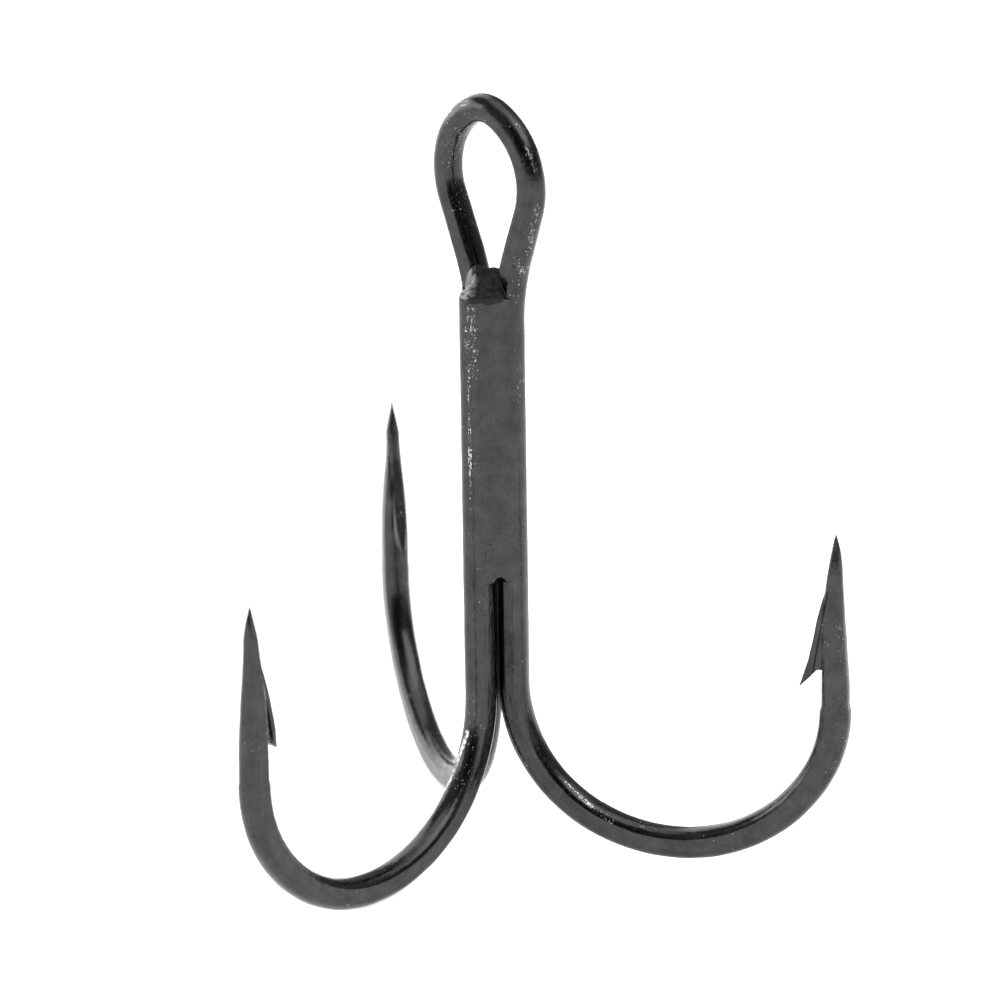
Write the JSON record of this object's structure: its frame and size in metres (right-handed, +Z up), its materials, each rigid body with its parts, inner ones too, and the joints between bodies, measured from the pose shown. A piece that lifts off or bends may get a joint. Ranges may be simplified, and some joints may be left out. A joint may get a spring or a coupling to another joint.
{
  "type": "treble fishing hook",
  "caption": "Treble hook: a forged wire bent into a teardrop eye and two barbed hooks, with a further barbed hook brazed into the groove of its shanks.",
  "frame": {"origin": "inside of the eye's crown, where a split ring pulls, in the mid plane of the wire that forms the eye", "axes": "+Z up along the straight shank from the bends to the eye; the eye lies in the XZ plane; the third, single hook reaches towards -Y"},
  "size_m": [0.0285, 0.0238, 0.0333],
  "materials": {
    "black_nickel_wire": "high-carbon steel wire under glossy black nickel plate",
    "plated_braze": "brazing alloy under the same black nickel plate, duller and rougher"
  },
  "bodies": {
    "root": {"eyed_double_hook": "black_nickel_wire", "single_hook": "black_nickel_wire", "braze_front_seam": "plated_braze", "braze_side_seam": "plated_braze", "braze_rear_seam": "plated_braze", "braze_throat_bead": "plated_braze"}
  },
  "joints": []
}
